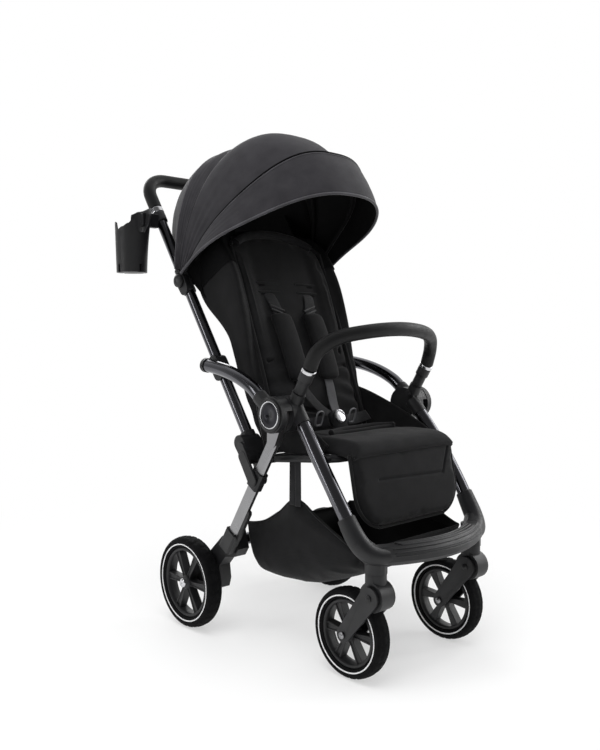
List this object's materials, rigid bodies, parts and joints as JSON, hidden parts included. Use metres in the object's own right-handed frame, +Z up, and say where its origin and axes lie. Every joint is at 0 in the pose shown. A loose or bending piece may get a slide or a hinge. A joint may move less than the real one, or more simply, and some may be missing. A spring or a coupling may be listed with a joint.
{
  "type": "baby stroller",
  "caption": "Foldable four-wheel baby stroller with a reclining padded seat, folding hood, bumper bar, basket and cup holder.",
  "frame": {"origin": "middle of the whole stroller's bounding box in X and Y, on the floor under the tyres", "axes": "+Z up; the stroller faces -Y; +X is its left-hand side, as the child sits"},
  "size_m": [0.541, 0.8032, 1.0978],
  "materials": {
    "plastic": "fine-grained satin",
    "gunmetal": "metallic gunmetal, glossy",
    "aluminium_tube": "anodised gunmetal, glossy",
    "steel_bolt": "zinc plated",
    "spring_strip": "smooth",
    "seat_fabric": "woven polyester",
    "canopy_fabric": "woven polyester",
    "leatherette": "grained",
    "tyre_rubber": "matte"
  },
  "bodies": {
    "front_frame": {"hub_left": "plastic", "hub_right": "plastic", "hub_disc_left": "gunmetal", "hub_disc_right": "gunmetal", "arm_left": "aluminium_tube", "arm_right": "aluminium_tube", "front_leg_left": "aluminium_tube", "front_leg_right": "aluminium_tube", "foot_bar": "plastic", "seat_frame": "aluminium_tube", "seat_pad": "seat_fabric", "harness": "seat_fabric", "buckle": "plastic", "basket": "seat_fabric"},
    "bumper_release_left": {"bumper_button_left": "plastic"},
    "bumper_release_right": {"bumper_button_right": "plastic"},
    "rear_frame": {"rear_leg_left": "aluminium_tube", "rear_leg_right": "aluminium_tube", "leg_bracket_left": "plastic", "leg_bracket_right": "plastic", "rear_housing_left": "plastic", "rear_housing_right": "plastic", "rear_tube": "aluminium_tube", "rear_axle_left": "steel_bolt", "rear_axle_right": "steel_bolt"},
    "brake": {"brake_pedal": "plastic"},
    "push_frame": {"push_bar_left": "aluminium_tube", "push_bar_right": "aluminium_tube", "bar_foot_left": "plastic", "bar_foot_right": "plastic", "bar_hinge_left": "plastic", "bar_hinge_right": "plastic", "canopy_rear": "canopy_fabric"},
    "sleeves": {"sleeve_left": "plastic", "sleeve_right": "plastic"},
    "handle": {"handle_tube_left": "aluminium_tube", "handle_tube_right": "aluminium_tube", "handle_grip": "leatherette", "cup_holder": "plastic"},
    "fold_release": {"fold_button": "plastic"},
    "canopy_middle": {"bow_mid": "spring_strip", "canopy_mid": "canopy_fabric"},
    "canopy_hood": {"bow_front": "spring_strip", "canopy_front": "canopy_fabric"},
    "backrest": {"backrest": "seat_fabric"},
    "leg_rest": {"leg_rest": "seat_fabric"},
    "bumper_bar": {"bumper": "leatherette"},
    "buckle_release": {"buckle_button": "plastic"},
    "rear_wheel_left": {"rear_wheel_left": "plastic", "rear_tyre_left": "tyre_rubber"},
    "rear_wheel_right": {"rear_wheel_right": "plastic", "rear_tyre_right": "tyre_rubber"},
    "caster_left": {"caster_left": "plastic"},
    "caster_right": {"caster_right": "plastic"},
    "fork_left": {"fork_left": "plastic"},
    "fork_right": {"fork_right": "plastic"},
    "front_wheel_left": {"front_wheel_left": "plastic", "front_tyre_left": "tyre_rubber"},
    "front_wheel_right": {"front_wheel_right": "plastic", "front_tyre_right": "tyre_rubber"}
  },
  "joints": [
    {"name": "fold", "type": "hinge", "parent": "front_frame", "child": "rear_frame", "pos_m": [0.036, -0.12955, 0.492], "axis": [-1, 0, 0], "range_deg": [0, 38], "deforming": ["basket"]},
    {"name": "push_bar_pivot", "type": "hinge", "parent": "rear_frame", "child": "push_frame", "pos_m": [0.036, -0.06575, 0.3561], "axis": [-1, 0, 0], "range_deg": [-26, 0]},
    {"name": "bar_sleeve", "type": "slide", "parent": "push_frame", "child": "sleeves", "axis": [0, 0.5621, 0.8271], "range_m": [0, 0.075]},
    {"name": "handle_fold", "type": "hinge", "parent": "push_frame", "child": "handle", "pos_m": [0.036, 0.21332, 0.76675], "axis": [-1, 0, 0], "range_deg": [0, 95]},
    {"name": "canopy_open", "type": "hinge", "parent": "canopy_middle", "child": "canopy_hood", "pos_m": [0.036, 0.21332, 0.76675], "axis": [-1, 0, 0], "range_deg": [0, 18], "deforming": ["canopy_mid", "canopy_rear"]},
    {"name": "canopy_middle", "type": "hinge", "parent": "push_frame", "child": "canopy_middle", "pos_m": [0.036, 0.21332, 0.76675], "axis": [-1, 0, 0], "range_deg": [0, 18]},
    {"name": "backrest_recline", "type": "hinge", "parent": "front_frame", "child": "backrest", "pos_m": [0.036, -0.06055, 0.393], "axis": [-1, 0, 0], "range_deg": [0, 35], "deforming": ["harness"]},
    {"name": "leg_rest_lift", "type": "hinge", "parent": "front_frame", "child": "leg_rest", "pos_m": [0.036, -0.26775, 0.43], "axis": [-1, 0, 0], "range_deg": [0, 80]},
    {"name": "bumper_pull", "type": "slide", "parent": "front_frame", "child": "bumper_bar", "axis": [0, -0.517, 0.856], "range_m": [0, 0.05]},
    {"name": "bumper_button_left", "type": "slide", "parent": "front_frame", "child": "bumper_release_left", "axis": [1, 0, 0], "range_m": [0, 0.0025], "stiffness_N_per_m": 400},
    {"name": "bumper_button_right", "type": "slide", "parent": "front_frame", "child": "bumper_release_right", "axis": [-1, 0, 0], "range_m": [0, 0.0025], "stiffness_N_per_m": 400},
    {"name": "fold_button", "type": "slide", "parent": "handle", "child": "fold_release", "axis": [0, -0.5621, -0.8271], "range_m": [0, 0.0025], "stiffness_N_per_m": 400, "springref_m": -0.001},
    {"name": "buckle_button", "type": "slide", "parent": "front_frame", "child": "buckle_release", "axis": [0, 0.9404, -0.3401], "range_m": [0, 0.0025], "stiffness_N_per_m": 400},
    {"name": "brake_pedal", "type": "hinge", "parent": "rear_frame", "child": "brake", "pos_m": [0.036, 0.05345, 0.202], "axis": [-1, 0, 0], "range_deg": [0, 20]},
    {"name": "caster_left", "type": "hinge", "parent": "front_frame", "child": "caster_left", "pos_m": [0.182, -0.33255, 0.212], "axis": [0, 0, 1], "continuous": true},
    {"name": "suspension_left", "type": "hinge", "parent": "caster_left", "child": "fork_left", "pos_m": [0.182, -0.33655, 0.171], "axis": [1, 0, 0], "range_deg": [0, 8], "stiffness_Nm_per_rad": 40, "springref_deg": -14.32},
    {"name": "front_spin_left", "type": "hinge", "parent": "fork_left", "child": "front_wheel_left", "pos_m": [0.182, -0.27155, 0.086], "axis": [1, 0, 0], "continuous": true},
    {"name": "rear_spin_left", "type": "hinge", "parent": "rear_frame", "child": "rear_wheel_left", "pos_m": [0.252, 0.15645, 0.1], "axis": [1, 0, 0], "continuous": true},
    {"name": "caster_right", "type": "hinge", "parent": "front_frame", "child": "caster_right", "pos_m": [-0.11, -0.33255, 0.212], "axis": [0, 0, 1], "continuous": true},
    {"name": "suspension_right", "type": "hinge", "parent": "caster_right", "child": "fork_right", "pos_m": [-0.11, -0.33655, 0.171], "axis": [1, 0, 0], "range_deg": [0, 8], "stiffness_Nm_per_rad": 40, "springref_deg": -14.32},
    {"name": "front_spin_right", "type": "hinge", "parent": "fork_right", "child": "front_wheel_right", "pos_m": [-0.11, -0.27155, 0.086], "axis": [1, 0, 0], "continuous": true},
    {"name": "rear_spin_right", "type": "hinge", "parent": "rear_frame", "child": "rear_wheel_right", "pos_m": [-0.18, 0.15645, 0.1], "axis": [1, 0, 0], "continuous": true}
  ],
  "couplings": [
    {"joint": "push_bar_pivot", "follows": "fold", "ratio": -0.6635},
    {"joint": "bar_sleeve", "follows": "fold", "m_per_rad": 0.10801},
    {"joint": "canopy_middle", "follows": "canopy_open", "ratio": 1}
  ]
}
